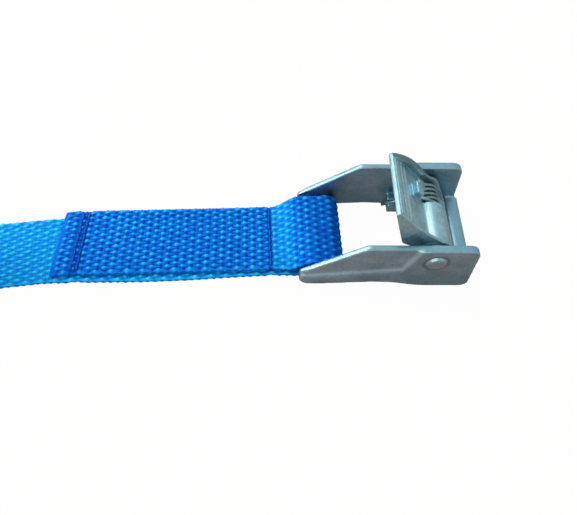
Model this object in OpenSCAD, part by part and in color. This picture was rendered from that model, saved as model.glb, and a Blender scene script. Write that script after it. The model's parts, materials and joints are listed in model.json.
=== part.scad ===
// Cam buckle lashing strap: a sprung cam buckle on the sewn end of a webbing strap.
// The strap's spare length is wound into a roll behind the buckle.
// The origin is on the ground under the middle of the buckle.
// +X points to the front of the buckle and +Z points up.

/* [Webbing] */
// Width of the webbing
web_width = 25; // [20:1:50]
// Thickness of one layer of webbing
web_thickness = 1.6; // [1.2:0.1:2.2]
// Length of the strap that lies double, from the front seam to its cut end
tail_length = 70; // [45:1:130]
// Distance from the rear bar back to the front seam
seam_setback = 19.2; // [16:0.2:32]
// Distance from the cut end to the outer of the two rear seams
rear_seam_inset = 6.6; // [4:0.5:15]
// Distance between the two rear seams
rear_seam_gap = 1.9; // [1.2:0.1:5]
// Flat run of single strap between the sewn end and the roll
lead_length = 76; // [50:1:200]
// Turn of the sewn end in plan, from the buckle's own axis
strap_yaw = 2.4; // [-2.6:0.1:2.6]
// How far the cut end of the sewn tail lies to the side of the strap under it
tail_drift = 1.2; // [0:0.1:2]
// Further turn of the single strap behind the sewn end
lead_yaw = 4.8; // [1:0.5:8]
// Radius of the roll of spare strap
roll_radius = 35.5; // [25:0.5:60]
// Radius of the open core of the roll
roll_core = 6; // [4:0.5:12]

/* [Frame] */
// Length of the frame from its nose to its foot
frame_length = 55.6; // [50:0.5:90]
// Height of the cheeks
cheek_height = 21.7; // [19.5:0.5:32]
// Thickness of the cheeks at their thin panel
cheek_thickness = 1.9; // [1.2:0.1:3]
// Step from the thin panel out to the raised rim
rim_step = 0.8; // [0.5:0.1:1.5]
// Play between the webbing's edge and each cheek
side_play = 2.0; // [0.8:0.1:3]
// Height of the nose above the ground
nose_rise = 1.4; // [1:0.1:3]
// Height of the arch between the nose and the belly
arch_rise = 2.8; // [1.5:0.1:3.5]
// Height of the blunt nose tip
nose_height = 5.4; // [4:0.2:6]
// Length of the ramp from the nose to the level top edge
ramp_length = 20; // [14:0.5:26]
// How far the front edge leans back over the cheek's height
front_lean = 1.8; // [0:0.1:3]
// Length of the flat belly that the buckle stands on
belly_length = 20.6; // [16:0.5:24]
// Height of the raised rim at the nose
rim_nose_z = 5.2; // [4.5:0.1:8]
// Height of the raised rim where it turns up to the top edge
rim_bend_z = 9.1; // [6:0.1:12]

/* [Bars] */
// Radius of the rear bar that carries the sewn eye
rear_bar_radius = 2.2; // [2:0.1:3]
// Distance from the nose to the rear bar's axis
rear_bar_setback = 9.4; // [8:0.1:13]
// Play between the sewn eye and the rear bar
eye_play = 0.95; // [0.9:0.05:1.6]
// Length of the front bar along the buckle
front_bar_length = 5.4; // [4:0.1:7]
// How far the front bar stands out of the cheeks' front edge
front_bar_overhang = 0.8; // [0.3:0.1:1.5]
// Height of the front bar
front_bar_height = 5.2; // [3:0.1:6]
// Height of the front bar's underside above the ground
front_bar_z = 1.4; // [0.5:0.1:3]
// Radius of the front bar's long edges
front_bar_round = 1.7; // [0.6:0.1:2]

/* [Pivot] */
// Distance from the foot back to the pivot axis
pivot_setback = 13.8; // [12.5:0.1:20]
// Height of the pivot axis
pivot_z = 15.1; // [14:0.1:22]
// Radius of the rivet's shank
pin_radius = 2.2; // [1.8:0.1:2.6]
// Radius of the rivet's heads
head_radius = 3.6; // [3:0.1:4.4]
// Height of the rivet's heads
head_height = 1.0; // [0.6:0.1:1.5]
// Radial play of the lever on the rivet
pin_play = 0.06; // [0.02:0.01:0.09]

/* [Cam] */
// Radius of the lever's round barrel
barrel_radius = 5.1; // [4.5:0.1:6.5]
// Gap between the closed teeth and the front bar
tooth_gap = 0.35; // [0.3:0.05:1]
// Turn of the lever from closed to fully open
cam_throw = 45; // [30:1:50]
// How much nearer the axis the cam's face is at full throw
cam_fall = 4.2; // [2:0.1:5.5]
// Number of teeth on the cam
tooth_count = 7; // [4:1:10]
// Depth of the teeth
tooth_depth = 1.0; // [0.5:0.1:1.3]

/* [Lever] */
// Length of the thumb plate from the axis to its free edge
lever_length = 22.5; // [18:0.5:28]
// Angle of the thumb plate at rest, from +X
lever_angle = 139; // [125:1:150]
// Distance from the axis to the thumb face
face_offset = 4.5; // [4:0.1:5.5]
// Thickness of the thumb plate under its tray
plate_thickness = 1.3; // [1:0.1:1.8]
// Thickness of the plate's thin free edge
lip_thickness = 1.5; // [1:0.1:2]
// Width of the thumb plate at its free edge
lip_width = 22.4; // [16:0.2:25]
// Width of the lever across its side walls
lever_width = 25.6; // [22:0.2:28]
// Distance from the axis to where the thumb plate starts to narrow
taper_from = 13; // [10:0.5:18]
// Depth of the tray at the free edge of the thumb face
tray_depth = 0.7; // [0.3:0.1:1]
// Tilt of the tray's floor, down to the barrel
tray_tilt = 6.5; // [3:0.5:8]
// Thickness of the lever's side walls
wall_thickness = 2.0; // [1.2:0.1:2.5]
// Radius of the hub at each end of the lever's barrel
hub_radius = 3.8; // [3.2:0.1:4.5]
// Gap between the lever's hub and each cheek
lever_play = 0.3; // [0.2:0.05:0.6]
// Depth of the side walls at their lower corner, below the thumb face
wall_depth = 8.2; // [5:0.2:10]
// Place of the side walls' lower corner along the plate
wall_corner = 11.4; // [9:0.1:15]
// Number of grip ribs across the thumb face
rib_count = 4; // [2:1:6]
// Spacing of the grip ribs
rib_pitch = 1.9; // [1.2:0.1:3]

/* [Spring] */
// Diameter of the spring wire
wire_d = 1.3; // [0.8:0.1:1.6]
// Play between the coil and the rivet
coil_play = 0.7; // [0.3:0.1:1]
// Distance from one turn of the coil to the next
coil_pitch = 1.7; // [1.5:0.05:2.2]
// Whole turns in the coil
coil_turns = 4; // [3:1:4]
// Tilt of the lever leg below the line of the thumb plate
lever_leg_tilt = 12; // [8:0.5:20]
// Slope of the leg that rests on the frame
frame_leg_slope = 20; // [10:1:30]
// Length of the leg under the thumb plate
lever_leg_length = 14.4; // [8:0.5:16]
// Length of the leg that rests on the frame
frame_leg_length = 15; // [10:0.2:18]

/* [Hidden] */
$fn = 64;
far = 200;
seat_play = 0.05;

zinc = [0.62, 0.72, 0.76];
steel = [0.66, 0.68, 0.70];
webbing_blue = [0.08, 0.47, 0.86];
thread_blue = [0.03, 0.20, 0.52];
tie_black = [0.08, 0.08, 0.09];

// Frame
nose_x = -(frame_length + front_bar_overhang) / 2;
front_x = nose_x + frame_length;
cheek_in = web_width / 2 + side_play;
panel_out = cheek_in + cheek_thickness;
rim_out = panel_out + rim_step;
lean = atan(front_lean / cheek_height);
nose_round = 1.9;
top_round = 3.3;
foot_round = 1.3;
belly_slope = 3.9;
foot_x = front_x + foot_round * (tan(lean) + 1 / cos(lean) - 1);
belly_x = front_x - belly_length;
rear_bar_x = nose_x + rear_bar_setback;
rear_bar_z = rear_bar_radius + eye_play + web_thickness + seat_play;
front_bar_x = front_x + front_bar_overhang - front_bar_length;
pivot_x = front_x - pivot_setback;
rim_bend_x = pivot_x - 9.9;
rim_top_x = pivot_x - 5.7;
rim_nose_x = nose_x + 4.4;

// Rivet
head_dish = head_radius / 2;
dish_depth = head_height / 3;

// Cam: the closed teeth aim at the front bar's rounded near edge
bar_edge = [front_bar_x + front_bar_round - pivot_x, front_bar_z + front_bar_height - front_bar_round - pivot_z];
bar_aim = atan2(bar_edge[1], bar_edge[0]);
cam_reach = norm(bar_edge) - front_bar_round - tooth_gap;
cam_lead = 3;
heel_angle = -150;

// Lever
hub_out = cheek_in - lever_play;
lever_out = lever_width / 2;
face_dir = [cos(lever_angle), sin(lever_angle)];
face_up = [sin(lever_angle), -cos(lever_angle)];
side_taper = (lever_width - lip_width) / 2 / (lever_length - taper_from);
wall_round = 1.6;
rim_width = 1.0;
tray_from = lever_length - 0.7;
rib_width = 0.8;
rib_height = 0.25;
first_rib = lever_length - 1.9;
first_rib_height = 0.55;

// Bridge over the spring's lever leg, and the lower step beside it
bridge_along = [8.6, 11.6];
bridge_y = [1.6, 6];
bridge_top = 4.9;
step_along = [6.2, 9.2];
step_y = [5, 8.6];
step_top = 4.2;

// Arched brow along the lever's far edge that guards the spring
brow_from = [6, 12.5];
brow_to = [lever_length - 0.9, lip_width / 2 - 0.5];
brow_out = 3.35;
brow_rise = 1.3;
brow_lean = 40;
brow_radius = 1.2;

// Spring
wire_r = wire_d / 2;
coil_r = pin_radius + coil_play + wire_r;
frame_leg_y = 10.9;
lever_leg_angle = lever_angle + lever_leg_tilt;
coil_from = lever_leg_angle - 90;
coil_to = frame_leg_slope - 90 - 360 * coil_turns;
coil_sweep = coil_from - coil_to;
coil_length = coil_pitch * coil_sweep / 360;
lever_leg_y = frame_leg_y - coil_length;
coil_room = 0.35;
pocket_y = [lever_leg_y - wire_r - coil_room, frame_leg_y + wire_r + coil_room];
pocket_r = coil_r + wire_r + coil_room;
notch_reach = 5.2;
cut_step = 0.1;
wire_step = 15;
wire_sides = 8;

// Lug on the far cheek that the spring's frame leg presses on
lug_x = [pivot_x - 10.9, pivot_x - 7.2];
lug_bottom = arch_rise + 1.9;
lug_side = 1.2;
leg_start = coil_r * [sin(frame_leg_slope), -cos(frame_leg_slope)];
leg_line = [-cos(frame_leg_slope), -sin(frame_leg_slope)];

// Strap
eye_in = rear_bar_radius + eye_play;
eye_out = eye_in + web_thickness;
seam_x = -seam_setback;
tail_x = seam_x - tail_length;
rise_from = seam_x + 2.4;
rise_run = 9.6;
rise_steps = 12;
lead_bend = 7;
bend_radius = lead_bend / (lead_yaw * PI / 180);
bend_steps = 6;
lead_stop = 4;
thread_d = 0.7;
channel = 0.9;
stitch_length = 2.1;
stitch_gap = 0.7;
stitch_margin = 1.4;
front_seam = [seam_x - 0.5];
rear_seams = [tail_x + rear_seam_inset, tail_x + rear_seam_inset + rear_seam_gap];
tie_width = 8;
tie_thickness = 1.2;
tie_play = 0.1;

// Extrude a flat XZ shape across the buckle, from y0 to y1
module across(y0, y1) {
    translate([0, y1, 0])
        rotate([90, 0, 0])
            linear_extrude(y1 - y0)
                children();
}

// Corner geometry: each corner is [x, z, radius]
function point(c) = [c[0], c[1]];
function toward(a, b) = (point(b) - point(a)) / norm(point(b) - point(a));
function half_angle(c, i) =
    let (n = len(c), back = toward(c[i], c[(i + n - 1) % n]), ahead = toward(c[i], c[(i + 1) % n]))
    acos(back * ahead) / 2;
function setback(c, i) = c[i][2] / tan(half_angle(c, i));
function round_centre(c, i) =
    let (n = len(c), back = toward(c[i], c[(i + n - 1) % n]), ahead = toward(c[i], c[(i + 1) % n]))
    point(c[i]) + (back + ahead) / norm(back + ahead) * c[i][2] / sin(half_angle(c, i));

// A flat shape whose outward corners are true arcs
module rounded(corners) {
    n = len(corners);
    polygon([
        for (i = [0 : n - 1])
            each [
                point(corners[i]) + toward(corners[i], corners[(i + n - 1) % n]) * setback(corners, i),
                point(corners[i]) + toward(corners[i], corners[(i + 1) % n]) * setback(corners, i)
            ]
    ]);
    for (i = [0 : n - 1])
        if (corners[i][2] > 0.1)
            translate(round_centre(corners, i))
                circle(corners[i][2]);
}

// Side view of one cheek
module cheek_outline() {
    rounded([
        [nose_x, nose_rise, nose_round],
        [belly_x - belly_slope, arch_rise, 0.01],
        [belly_x, 0, nose_round],
        [foot_x, 0, foot_round],
        [foot_x - front_lean, cheek_height, top_round],
        [nose_x + ramp_length, cheek_height, top_round],
        [nose_x, nose_rise + nose_height, nose_round]
    ]);
}

// Side view of the raised rim that stiffens a cheek round its bars and pivot
module rim_outline() {
    intersection() {
        cheek_outline();
        polygon([
            [nose_x - 1, -1],
            [front_x + 5, -1],
            [front_x + 5, cheek_height + 1],
            [rim_top_x, cheek_height + 1],
            [rim_top_x, cheek_height],
            [rim_bend_x, rim_bend_z],
            [rim_nose_x, rim_nose_z],
            [nose_x - 1, rim_nose_z]
        ]);
    }
}

module cheek(side) {
    mirror([0, side, 0]) {
        across(cheek_in, panel_out) cheek_outline();
        across(panel_out, rim_out) rim_outline();
    }
}

// Block on the far cheek with a groove for the spring's frame leg
module spring_lug() {
    lug_in = frame_leg_y - wire_r - seat_play - lug_side;
    groove_floor = pivot_z + leg_start[1] + leg_line[1] * (pivot_x + leg_start[0] - lug_x[0]) / -leg_line[0];
    lug_top = groove_floor + wire_d;
    difference() {
        translate([lug_x[0], lug_in, lug_bottom])
            cube([lug_x[1] - lug_x[0], cheek_in - lug_in + seat_play, lug_top - lug_bottom]);
        leg_groove();
    }
}

// Room for the frame leg, open to the top
module leg_groove() {
    translate([pivot_x + leg_start[0], frame_leg_y, pivot_z + leg_start[1]])
        rotate([0, -frame_leg_slope, 0])
            translate([-far / 2, -wire_r - seat_play, -wire_r - seat_play])
                cube([far / 2, wire_d + 2 * seat_play, wire_d * 4]);
}

module buckle_frame() {
    color(zinc)
        difference() {
            union() {
                cheek(0);
                cheek(1);
                translate([rear_bar_x, 0, rear_bar_z])
                    rotate([90, 0, 0])
                        cylinder(h = 2 * cheek_in + cheek_thickness, r = rear_bar_radius, center = true);
                across(-cheek_in - seat_play, cheek_in + seat_play)
                    rounded([
                        [front_bar_x, front_bar_z, front_bar_round],
                        [front_bar_x + front_bar_length, front_bar_z, front_bar_round],
                        [front_bar_x + front_bar_length, front_bar_z + front_bar_height, front_bar_round],
                        [front_bar_x, front_bar_z + front_bar_height, front_bar_round]
                    ]);
                spring_lug();
            }
            at_pivot()
                cylinder(h = far, r = pin_radius + seat_play, center = true);
        }
}

// Turn a solid of revolution onto the pivot axis, its +Z towards -Y
module at_pivot() {
    translate([pivot_x, 0, pivot_z])
        rotate([90, 0, 0])
            children();
}

module pivot_rivet() {
    color(steel)
        at_pivot() {
            cylinder(h = 2 * rim_out, r = pin_radius, center = true);
            for (side = [0, 1])
                mirror([0, 0, side])
                    translate([0, 0, rim_out])
                        rivet_head();
        }
}

// Domed head with a shallow dish where it was set
module rivet_head() {
    crown = (head_radius * head_radius + head_height * head_height) / 2 / head_height;
    difference() {
        intersection() {
            translate([0, 0, head_height - crown])
                sphere(crown, $fn = 96);
            cylinder(h = head_height, r = head_radius);
        }
        translate([0, 0, head_height - dish_depth])
            cylinder(h = head_height, r = head_dish);
    }
}

// Radius of the toothed face at an angle from the axis; it falls away clockwise
function cam_radius(a) = cam_reach - cam_fall * (bar_aim - a) / cam_throw;
function polar(r, a) = r * [cos(a), sin(a)];

// Toothed eccentric face, in side view about the pivot axis
module cam_outline() {
    pitch = (cam_throw + 2 * cam_lead) / tooth_count;
    start = bar_aim + cam_lead;
    last = start - tooth_count * pitch;
    polygon(concat(
        [[0, 0], polar(barrel_radius, 20)],
        [for (i = [0 : tooth_count - 1])
            each [
                polar(cam_radius(start - i * pitch) - tooth_depth, start - i * pitch),
                polar(cam_radius(start - (i + 0.35) * pitch), start - (i + 0.35) * pitch)
            ]],
        [polar(cam_radius(last) - tooth_depth, last), polar(barrel_radius, heel_angle)]
    ));
}

// Point on the lever's side view: along the plate from the axis, and out from it
function on_lever(along, out) = along * face_dir + out * face_up;
function lever_corner(along, out, r) = concat(on_lever(along, out), [r]);

// Side view of the lever above its barrel, about the pivot axis
module lever_outline() {
    rounded([
        lever_corner(0, face_offset, 0.01),
        lever_corner(0, -1, 0.01),
        lever_corner(barrel_radius - 1, -2.4, 0.01),
        lever_corner(wall_corner, face_offset - wall_depth, wall_round),
        lever_corner(lever_length, face_offset - lip_thickness, lip_thickness / 3),
        lever_corner(lever_length, face_offset, lip_thickness / 3)
    ]);
}

// Work in the plane of the thumb plate: x along the plate, y across, z out of its face
module on_plate() {
    translate([pivot_x, 0, pivot_z])
        rotate([0, -lever_angle, 0])
            mirror([0, 0, 1])
                children();
}

// Plan of the lever inside an edge of the given width; it narrows to its free edge
module plate_plan(edge) {
    tip = lip_width / 2 - edge;
    base = lever_out - edge;
    polygon([
        [-far, base],
        [taper_from, base],
        [lever_length + 1, tip - side_taper],
        [lever_length + 1, -tip + side_taper],
        [taper_from, -base],
        [-far, -base]
    ]);
}

// Wedge of thumb plate and side walls, hollow underneath
module lever_wedge() {
    difference() {
        intersection() {
            translate([pivot_x, 0, pivot_z])
                across(-lever_out, lever_out)
                    lever_outline();
            on_plate()
                translate([0, 0, -far / 2])
                    linear_extrude(far)
                        plate_plan(0);
        }
        inside_plan(wall_thickness) plate_side(lever_length, -plate_thickness, -far);
        inside_plan(rim_width) plate_side(tray_from, 0, far);
    }
}

// Height of the tray's floor out from the axis; it falls towards the barrel
function tray_floor(along) = face_offset - tray_depth - (tray_from - along) * tan(tray_tilt);

// Side view of all that lies beyond a line along the tray's floor, about the pivot axis
module plate_side(reach, offset, limit) {
    polygon([
        on_lever(0, tray_floor(0) + offset),
        on_lever(reach, tray_floor(reach) + offset),
        on_lever(reach, limit),
        on_lever(0, limit)
    ]);
}

// Extrude a side view across the lever, inside an edge of the given width
module inside_plan(edge) {
    intersection() {
        translate([pivot_x, 0, pivot_z])
            across(-lever_out, lever_out)
                children();
        on_plate()
            translate([0, 0, -far / 2])
                linear_extrude(far)
                    plate_plan(edge);
    }
}

// Block that stands on the tray's floor
module tray_block(along, y, top) {
    base = tray_floor(along[0]) - plate_thickness / 2;
    on_plate()
        translate([along[0], y[0], base])
            cube([along[1] - along[0], y[1] - y[0], top - base]);
}

// Grip ribs across the tray, the tallest one next to the free edge
module grip_ribs() {
    for (i = [0 : rib_count - 1]) {
        along = first_rib - i * rib_pitch;
        half = lip_width / 2 + (lever_length - along) * side_taper - rim_width - rib_width / 2;
        height = i == 0 ? first_rib_height : rib_height;
        tray_block([along - rib_width / 2, along + rib_width / 2], [-half, half], tray_floor(along) + height);
    }
}

// Arc of a ring over the chord between the brow's ends, leaning out and up
module spring_brow() {
    chord = brow_to - brow_from;
    half = norm(chord) / 2;
    sweep_radius = (half * half + brow_rise * brow_rise) / 2 / brow_rise;
    sweep = 2 * asin(half / sweep_radius);
    on_plate()
        translate(concat((brow_from + brow_to) / 2, [brow_out]))
            rotate([brow_lean, 0, atan2(chord[1], chord[0])])
                translate([0, brow_rise - sweep_radius, 0])
                    rotate(90 - sweep / 2)
                        rotate_extrude(angle = sweep, $fn = 128)
                            translate([sweep_radius, 0])
                                circle(brow_radius, $fn = 32);
}

module cam_lever() {
    color(zinc)
        difference() {
            union() {
                lever_wedge();
                grip_ribs();
                at_pivot()
                    cylinder(h = lever_width, r = barrel_radius, center = true);
                at_pivot()
                    cylinder(h = 2 * hub_out, r = hub_radius, center = true);
                translate([pivot_x, 0, pivot_z])
                    across(-web_width / 2, web_width / 2)
                        cam_outline();
                tray_block(bridge_along, bridge_y, bridge_top);
                tray_block(step_along, step_y, step_top);
                spring_brow();
            }
            spring_pocket();
            at_pivot()
                cylinder(h = far, r = pin_radius + pin_play, center = true);
        }
}

// Room round the spring: the coil's is open upwards, each leg's runs on from it
module spring_pocket() {
    translate([pivot_x, 0, pivot_z]) {
        across(pocket_y[0], pocket_y[1]) coil_room_outline();
        across(pocket_y[0] + cut_step, lever_leg_y + wire_r + coil_room) lever_leg_outline();
        across(frame_leg_y - wire_r - coil_room, pocket_y[1] - cut_step) frame_leg_outline();
    }
}

// Side view of the coil's room, about the pivot axis
module coil_room_outline() {
    circle(pocket_r);
    polygon([on_lever(-far, 0), on_lever(notch_reach, 0), on_lever(notch_reach, far), on_lever(-far, far)]);
    translate([-far, -pocket_r])
        square([far, pocket_r]);
}

// Side view of the lever leg's room, from the coil through the plate
module lever_leg_outline() {
    translate(polar(coil_r, coil_from))
        rotate(lever_leg_angle)
            translate([0, -wire_r - coil_room])
                square([lever_leg_length + coil_room, wire_d + 2 * coil_room]);
}

// Side view of the frame leg's room, below the axis and behind it
module frame_leg_outline() {
    intersection() {
        translate(leg_start)
            rotate(frame_leg_slope)
                translate([-far, -wire_r - coil_room])
                    square([far, far]);
        translate([-far, -far])
            square([far, far]);
    }
}

// Wire of the spring: rings of points along leg, coil and leg
function out_from_axis(a) = [cos(a), 0, sin(a)];
function coil_point(a) =
    coil_r * out_from_axis(a) + [0, lever_leg_y + coil_pitch * (coil_from - a) / 360, 0];
function wire_ring(centre, outward) = [
    for (k = [0 : wire_sides - 1])
        centre + wire_r * (cos(360 * k / wire_sides) * outward + sin(360 * k / wire_sides) * [0, 1, 0])
];
function lever_leg_end() =
    coil_point(coil_from) + lever_leg_length * [cos(lever_leg_angle), 0, sin(lever_leg_angle)];
function frame_leg_end() =
    coil_point(coil_to) + frame_leg_length * [leg_line[0], 0, leg_line[1]];

module torsion_spring() {
    steps = ceil(coil_sweep / wire_step);
    rings = concat(
        [wire_ring(lever_leg_end(), out_from_axis(coil_from))],
        [for (i = [0 : steps])
            let (a = coil_from - coil_sweep * i / steps)
            wire_ring(coil_point(a), out_from_axis(a))],
        [wire_ring(frame_leg_end(), out_from_axis(coil_to))]
    );
    last = len(rings) - 1;
    color(steel)
        translate([pivot_x, 0, pivot_z])
            polyhedron(
                points = [for (ring = rings) each ring],
                faces = concat(
                    [[for (k = [0 : wire_sides - 1]) k]],
                    [[for (k = [wire_sides - 1 : -1 : 0]) last * wire_sides + k]],
                    [for (i = [0 : last - 1])
                        for (k = [0 : wire_sides - 1])
                            let (a = i * wire_sides + k, b = i * wire_sides + (k + 1) % wire_sides)
                            each [[a, a + wire_sides, b], [b, a + wire_sides, b + wire_sides]]]
                )
            );
}

// Frame of the sewn end: x from the rear bar's axis, turned a little in plan
module on_strap() {
    translate([rear_bar_x, 0, 0])
        rotate([0, 0, strap_yaw])
            children();
}

// Height of the upper layer's underside over the run from the seam to the eye
function rise(t) = t * t * (3 - 2 * t);
function upper_z(t) = web_thickness + (rear_bar_z + eye_in - web_thickness) * rise(t);
function rise_point(i, lift) = [rise_from + rise_run * i / rise_steps, upper_z(i / rise_steps) + lift];

// Side view of the eye's outer or inner face, closed by the given points at the seam
module eye_side(radius, lift, seam_points) {
    polygon(concat(
        [for (i = [0 : rise_steps]) rise_point(i, lift)],
        [for (a = [90 : -10 : -90]) [radius * cos(a), rear_bar_z + radius * sin(a)]],
        seam_points
    ));
}

module strap_eye() {
    color(webbing_blue)
        on_strap()
            across(-web_width / 2, web_width / 2)
                difference() {
                    eye_side(eye_out, web_thickness, [[seam_x, 0], [seam_x, 2 * web_thickness]]);
                    eye_side(eye_in, 0, []);
                }
}

// Shallow channel across the strap that the stitches lie in
module stitch_channels(seams, z) {
    for (x = seams)
        translate([x - channel / 2, -far / 2, z])
            cube([channel, far, web_thickness]);
}

module double_layer(z, drift) {
    half = web_width / 2;
    translate([0, 0, z])
        linear_extrude(web_thickness)
            polygon([[seam_x, -half], [seam_x, half], [tail_x, half + drift], [tail_x, -half + drift]]);
}

module strap_lower_run() {
    color(webbing_blue)
        on_strap()
            difference() {
                double_layer(0, 0);
                stitch_channels(concat(front_seam, rear_seams), thread_d - web_thickness);
            }
}

module strap_sewn_tail() {
    color(webbing_blue)
        on_strap()
            difference() {
                double_layer(web_thickness, tail_drift);
                stitch_channels(concat(front_seam, rear_seams), 2 * web_thickness - thread_d / 2);
            }
}

// Centre line of the single strap in plan, and the point beside it
function bend_point(a, side) =
    [tail_x - bend_radius * sin(a), -bend_radius * (1 - cos(a))] + side * [-sin(a), cos(a)];
function lead_point(run, side) =
    bend_point(lead_yaw, side) - (run - lead_bend) * [cos(lead_yaw), sin(lead_yaw)];

module lead_plan(run) {
    half = web_width / 2;
    polygon(concat(
        [for (i = [0 : bend_steps]) bend_point(lead_yaw * i / bend_steps, half)],
        [lead_point(run, half), lead_point(run, -half)],
        [for (i = [bend_steps : -1 : 0]) bend_point(lead_yaw * i / bend_steps, -half)]
    ));
}

// Frame of the roll: on its axis, above the end of the lead
module on_roll() {
    on_strap()
        translate(concat(lead_point(lead_length, 0), [roll_radius]))
            rotate([0, 0, lead_yaw])
                rotate([90, 0, 0])
                    children();
}

module strap_lead() {
    color(webbing_blue)
        difference() {
            on_strap()
                linear_extrude(web_thickness)
                    lead_plan(lead_length - lead_stop);
            on_roll()
                cylinder(h = far, r = roll_radius, center = true, $fn = 128);
        }
}

module strap_roll() {
    color(webbing_blue)
        on_roll()
            difference() {
                cylinder(h = web_width, r = roll_radius, center = true, $fn = 128);
                cylinder(h = far, r = roll_core, center = true);
            }
}

// A row of stitches across the strap
module stitches(seams, z) {
    count = floor((web_width - 2 * stitch_margin + stitch_gap) / (stitch_length + stitch_gap));
    row = count * (stitch_length + stitch_gap) - stitch_gap;
    on_strap()
        for (x = seams)
            for (i = [0 : count - 1])
                translate([x, -row / 2 + i * (stitch_length + stitch_gap), z])
                    rotate([-90, 0, 0])
                        cylinder(h = stitch_length, d = thread_d, $fn = 24);
}

module front_needle_thread() { color(thread_blue) stitches(front_seam, 2 * web_thickness); }
module front_bobbin_thread() { color(thread_blue) stitches(front_seam, thread_d / 2); }
module rear_needle_thread() { color(thread_blue) stitches(rear_seams, 2 * web_thickness); }
module rear_bobbin_thread() { color(thread_blue) stitches(rear_seams, thread_d / 2); }

// A ring about the roll's axis, cut from a wider one
module tie_ring(grow) {
    difference() {
        cylinder(h = web_width + 2 * (tie_play + grow), r = roll_radius + tie_play + grow, center = true, $fn = 128);
        cylinder(h = far, r = roll_core - tie_play - grow, center = true);
    }
}

// Tie that runs through the roll's core and over its top
module roll_tie() {
    color(tie_black)
        on_roll()
            intersection() {
                difference() {
                    tie_ring(tie_thickness);
                    tie_ring(0);
                }
                translate([-tie_width / 2, 0, -far / 2])
                    cube([tie_width, far, far]);
            }
}

buckle_frame();
cam_lever();
pivot_rivet();
torsion_spring();
strap_eye();
strap_lower_run();
strap_sewn_tail();
strap_lead();
strap_roll();
front_needle_thread();
front_bobbin_thread();
rear_needle_thread();
rear_bobbin_thread();
roll_tie();
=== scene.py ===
"""Looks of the cam buckle strap: woven webbing, seams, soft castings, rivet, spring and the tied roll."""
import json
import math

import bmesh
import bpy
import numpy as np
from mathutils import Matrix, Vector


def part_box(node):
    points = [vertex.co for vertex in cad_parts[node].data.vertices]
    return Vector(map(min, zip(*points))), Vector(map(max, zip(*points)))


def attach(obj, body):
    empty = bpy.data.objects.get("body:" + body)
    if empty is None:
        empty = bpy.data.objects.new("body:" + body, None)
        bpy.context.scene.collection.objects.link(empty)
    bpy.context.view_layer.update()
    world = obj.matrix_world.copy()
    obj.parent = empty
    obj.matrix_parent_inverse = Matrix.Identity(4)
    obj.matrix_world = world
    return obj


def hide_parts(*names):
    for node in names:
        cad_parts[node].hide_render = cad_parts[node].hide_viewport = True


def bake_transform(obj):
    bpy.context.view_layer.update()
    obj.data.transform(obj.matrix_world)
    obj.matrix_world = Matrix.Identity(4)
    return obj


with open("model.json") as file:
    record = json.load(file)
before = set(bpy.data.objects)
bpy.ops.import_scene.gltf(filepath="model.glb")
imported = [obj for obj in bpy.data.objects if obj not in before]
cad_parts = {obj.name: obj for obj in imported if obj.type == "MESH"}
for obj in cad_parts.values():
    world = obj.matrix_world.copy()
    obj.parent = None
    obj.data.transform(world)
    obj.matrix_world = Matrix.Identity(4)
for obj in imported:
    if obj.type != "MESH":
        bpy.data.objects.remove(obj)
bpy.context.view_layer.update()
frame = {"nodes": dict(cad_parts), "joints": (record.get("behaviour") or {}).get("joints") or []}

# Lengths are in millimetres; MM turns them into the frame's metres
MM = 0.001
TURN = 2 * math.pi
joints = {joint["name"]: joint for joint in frame["joints"]}
pivot = np.array(joints["cam_press"]["pos_m"]) / MM
rear_bar = np.array(joints["strap_swing"]["pos_m"]) / MM
bar_height = rear_bar[2]

# Points closer than this are joined
weld_gap = 0.0001
casting_weld_gap = 0.001

# Camera, as the photo was taken
photo_width = 577
focal_pixels = 521.16
camera_place = (-35.375, -94.117, 153.735)
camera_lift = math.radians(60.317)
camera_turn = math.radians(-2.658)
camera_roll = math.radians(2.429)
camera_near = 10
sensor_width = 36

# Light on the stage, and how white the floor looks straight on and in metal
studio_fill, studio_mirror = 0.27, 0.47
floor_size = 3000
floor_glow = 1.02
floor_white, floor_mirror = 0.955, 0.06

# Webbing: its section
web_width = 25
web_thickness = 1.6
half_width = web_width / 2
half_thickness = web_thickness / 2
edge_radius = 0.72
edge_inset = 0.3
edge_samples = 7
edge_turn = np.arange(1, edge_samples + 1) / (edge_samples + 1)
edge_run = 1.5
edge_droop = 0.3
droop_width = 2
droop_run = 8
flat_half = half_width - edge_inset

# Webbing: its warp yarns and their floats, the wefts between them, and the braid along its edges
weave_seed = 7
drift_waves = ((0.02, 23.0, 0.0), (0.012, 7.3, 1.0))
warp_count = 21
warp_pitch = 2 * flat_half / warp_count
float_period = 5.06
float_rise = 0.56
float_peak = 1.3
float_skew = 0.8
float_spread = 0.16
lag_spread = 0.03
yarn_crown = 0.46
yarn_over = 0.82
yarn_under = 0.6
yarn_sway = 0.06
sway_run = 3.1
weft_drop = 0.36
weft_lag = 0.43
weft_peak = 3.0
first_dip, second_dip = 0.25, 0.5
gap_depth = 0.66
plain_share = 0.25
selvedge_pitch = 2.4
selvedge_depth = 0.18
selvedge_calm = 0.45
selvedge_run = 0.6
side_shade = 0.4

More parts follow.
